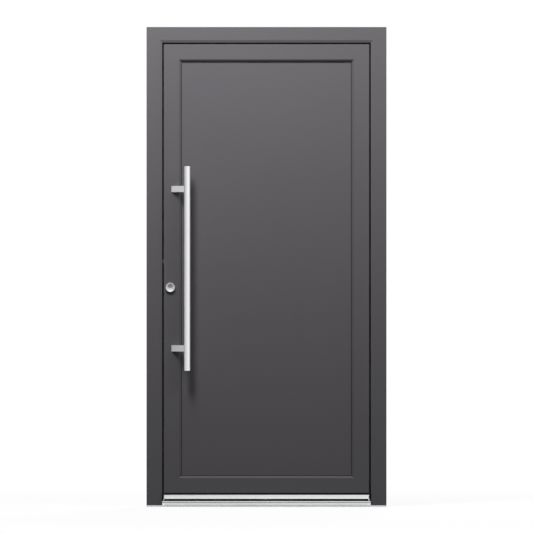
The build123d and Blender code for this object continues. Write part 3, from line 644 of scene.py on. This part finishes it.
# Black drip edge, partly painted shade along the bar's lower edge.
drip_shade_edge = block("weather_bar_drip_shade_edge", (bar_low.x, bar_low.y - drip_proud, bar_low.z),
             (bar_high.x, bar_low.y + depth_in_bar, drip_top), edge=0.0002)
dress(drip_shade_edge, "leaf", polyamide)

# %% [markdown]
# At the foot of each joint, between leaf and jamb, a black corner block closes the gap above
# the threshold. The upright seals could be drawn longer, but they would not fill its width.
# A thin block on the jamb does, and the leaf stays clear of it as it opens.

# %% Corner blocks above the threshold
corner_reach = 0.0064
corner_front, corner_back = -0.0366, -0.0336
corner_top = 0.0619
for side, sign in sides.items():
    near, far = sorted((sign * jamb_face, sign * (jamb_face - corner_reach)))
    corner = block(f"threshold_corner_block_{side}", (near, corner_front, nose_high.z),
                   (far, corner_back, corner_top), edge=0.0006)
    dress(corner, "frame", rubber)

# %% [markdown]
# Two brushes under the leaf sweep the threshold. In the CAD they are solid strips. Single hairs
# would be too many to keep, so each brush is a row of thin tufts: one tuft that narrows towards
# its tip is made and an array repeats it along the leaf.

# %% Brush tufts under the leaf
seal_low, seal_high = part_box("bottom_seal")
brush_places = {"outer": -0.020, "inner": 0.020}
brush_end_gap = 0.001
tuft_pitch = 0.0020
tuft_width = 0.0019
tuft_half_depth = 0.0024
tuft_lift = 0.0002
tip_length = 0.002
tip_share = 0.82
tuft_count = int((seal_high.x - seal_low.x - 2 * brush_end_gap) / tuft_pitch)


def brush(name, y):
    """Row of tufts along the leaf in place of one solid strip."""
    start = seal_low.x + brush_end_gap
    tuft = block(name, (start, y - tuft_half_depth, seal_low.z + tuft_lift),
                 (start + tuft_width, y + tuft_half_depth, seal_high.z), edge=0.0004, segments=1)
    for point in tuft.data.vertices:
        if point.co.z < seal_low.z + tip_length:
            point.co.y = y + (point.co.y - y) * tip_share
    repeat = tuft.modifiers.new("row", "ARRAY")
    repeat.count = tuft_count
    repeat.use_relative_offset = False
    repeat.use_constant_offset = True
    repeat.constant_offset_displace = (tuft_pitch, 0, 0)
    bpy.ops.object.modifier_apply(modifier=repeat.name)
    return dress(tuft, "leaf", brush_black)


for side, place in brush_places.items():
    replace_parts(brush(f"foot_brush_{side}", place), "bottom_seal")
print("tufts in each brush", tuft_count)

# %% [markdown]
# The rosette outside is a turned ring with a dished face. The dish turns dark at the top and
# bright at the bottom under light from above, which is what tells its shape in the picture.
# A profile could be spun round the axis. Here a disc is enough to start with: its front is
# inset once for the flat rim and twice more, sinking, for the dish, and the passage for the
# lock cylinder's plug is cut through it last.

# %% Dished rosette round the lock cylinder
ring_low, ring_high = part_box("outer_rosette")
ring_trim = 0.0008
ring_added = 0.0018
ring_lowered = 0.0010
same_plane = 0.000001
plug_z = 1.014
plug_hole = 0.0106
passage_length = 0.04
ring_radius = (ring_high.x - ring_low.x) / 2 - ring_trim
ring_front = ring_low.y - ring_added
lock_x = (ring_low.x + ring_high.x) / 2
ring_z = (ring_low.z + ring_high.z) / 2 - ring_lowered
dish_steps = {"rim": (0.0030, 0), "shoulder": (0.0012, -0.0007), "dish": (0.0050, -0.0014)}

rosette = turned("dished_rosette", (lock_x, (ring_front + ring_high.y) / 2, ring_z), "Y",
                 ring_radius, ring_high.y - ring_front, edge=0.0009, vertices=96)
bpy.ops.object.mode_set(mode="EDIT")
bpy.ops.mesh.select_mode(type="FACE")
bpy.ops.mesh.select_all(action="DESELECT")
bpy.ops.object.mode_set(mode="OBJECT")
for face in rosette.data.polygons:
    face.select = face.center.y < ring_front + same_plane
bpy.ops.object.mode_set(mode="EDIT")
for thickness, depth in dish_steps.values():
    bpy.ops.mesh.inset(thickness=thickness, depth=depth)
bpy.ops.object.mode_set(mode="OBJECT")

passage = turned("passage", (lock_x, outer_face, plug_z), "Y", plug_hole, passage_length,
                 edge=0.0001, segments=1)
cut_away(rosette, passage)
bpy.ops.object.select_all(action="DESELECT")
rosette.select_set(True)
bpy.ops.object.shade_smooth_by_angle(angle=smooth_corner)
dress(rosette, "leaf", satin_steel)
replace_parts(rosette, "outer_rosette")
print("rosette", round(2 * ring_radius * 1000, 1), "mm across")

# %% [markdown]
# The picture has a pure white background and hardly any shadow on the floor. The object could
# be cut out afterwards, but then the other views would have no ground. So the floor glows
# white to the camera and in mirror-like reflections, and takes a faint shadow only near the
# door. Further off it glows fully and blends into the white surroundings without a horizon.

# %% Floor
floor_size = 80.0
floor_near, floor_far = 1.2, 2.8
floor_glow = 0.88
white = (1.0, 1.0, 1.0, 1.0)


def seen_directly(tree):
    """1 for what the camera or a mirror-like surface sees, 0 for light that falls on things."""
    path = node(tree, "ShaderNodeLightPath")
    return calculate(tree, "MAXIMUM", path.outputs["Is Camera Ray"], path.outputs["Is Glossy Ray"])


def pale_floor():
    """Floor material whose own glow takes over from the light on it away from the door."""
    material = bpy.data.materials.new("pale_floor")
    material.use_nodes = True
    tree = material.node_tree
    shader = tree.nodes["Principled BSDF"]
    shader.inputs["Roughness"].default_value = 0.9
    shader.inputs["Specular IOR Level"].default_value = 0.0
    shader.inputs["Emission Color"].default_value = white
    place = node(tree, "ShaderNodeTexCoord").outputs["Object"]
    distance = node(tree, "ShaderNodeVectorMath", operation="LENGTH")
    tree.links.new(place, distance.inputs[0])
    share = ramp(tree, distance.outputs["Value"], floor_near, floor_far, floor_glow, 1.0)
    tree.links.new(calculate(tree, "SUBTRACT", 1.0, share), shader.inputs["Base Color"])
    glow = calculate(tree, "MULTIPLY", seen_directly(tree), share)
    tree.links.new(glow, shader.inputs["Emission Strength"])
    return material


bpy.ops.object.select_all(action="DESELECT")
bpy.ops.mesh.primitive_plane_add(size=floor_size, location=(0, 0, 0))
floor = bpy.context.object
floor.name = "floor"
floor.data.materials.append(pale_floor())

# %% [markdown]
# The white round the door comes from the world. A white wall could stand there, but it would
# be in the way of other views. The camera and mirror-like surfaces see the world at strength
# 1, while the light that it adds to the object is far weaker, so the lamps still make shadows.

# %% White surroundings
ambient = 0.08
world = bpy.data.worlds.new("studio")
world.use_nodes = True
bpy.context.scene.world = world
sky = world.node_tree
backdrop = sky.nodes["Background"]
backdrop.inputs["Color"].default_value = white
strength = ramp(sky, seen_directly(sky), 0.0, 1.0, ambient, 1.0, "LINEAR")

# %% [markdown]
# Round metal shows what stands beside it. The bar in the picture is grey on its left half and
# nearly white on its right. A dark board beside the door could do that, but it would darken
# the coat as well, so the world itself is dimmer on the left for mirror-like rays only.

# %% Dimmer left side of the studio in reflections
left_level = 0.4
dim_until, bright_from = -0.6, 0.1
direction = node(sky, "ShaderNodeTexCoord")
axes = node(sky, "ShaderNodeSeparateXYZ")
sky.links.new(direction.outputs["Generated"], axes.inputs[0])
side_level = ramp(sky, axes.outputs["X"], dim_until, bright_from, left_level, 1.0)
reflected = node(sky, "ShaderNodeMix", data_type="FLOAT")
is_glossy = node(sky, "ShaderNodeLightPath").outputs["Is Glossy Ray"]
sky.links.new(is_glossy, reflected.inputs["Factor"])
reflected.inputs["A"].default_value = 1.0
sky.links.new(side_level, reflected.inputs["B"])
total = calculate(sky, "MULTIPLY", strength, reflected.outputs[0])
sky.links.new(total, backdrop.inputs["Strength"])

# %% [markdown]
# In the picture the coat is much brighter at the head than at the foot, and the bar throws a
# shadow to the right and down. A sun lamp would light head and foot alike. One soft lamp high
# on the left front does both, because the foot is further from it than the head. A weaker one
# from the right keeps edges readable, and one behind the door lights its inside.

# %% Studio lamps
def soft_lamp(name, place, target, size, power):
    """Oval area lamp at a place, looking at a target, with its width and height in metres."""
    bpy.ops.object.light_add(type="AREA", location=place)
    lamp = bpy.context.object
    lamp.name = name
    lamp.data.shape = "ELLIPSE"
    lamp.data.size, lamp.data.size_y = size
    lamp.data.energy = power
    lamp.rotation_euler = (Vector(target) - Vector(place)).to_track_quat("-Z", "Y").to_euler()


soft_lamp("key_lamp", place=(-0.9, -1.95, 3.75), target=(-0.1, 0, 2.3), size=(0.8, 1.6),
          power=108.0)
soft_lamp("fill_lamp", place=(1.8, -2.0, 3.75), target=(0.2, 0, 2.3), size=(2.2, 1.6),
          power=64.0)
soft_lamp("inside_lamp", place=(0.8, 3.2, 2.8), target=(0, 0, 1.2), size=(1.4, 1.4),
          power=90.0)

# %% [markdown]
# A view transform changes colours between the light and the file. Filmic ones suit strong
# contrasts, but here the colours were compared with the picture step by step, so the plain one
# is set, which leaves them as they are.

# %% Plain view transform
bpy.context.scene.view_settings.view_transform = "Standard"
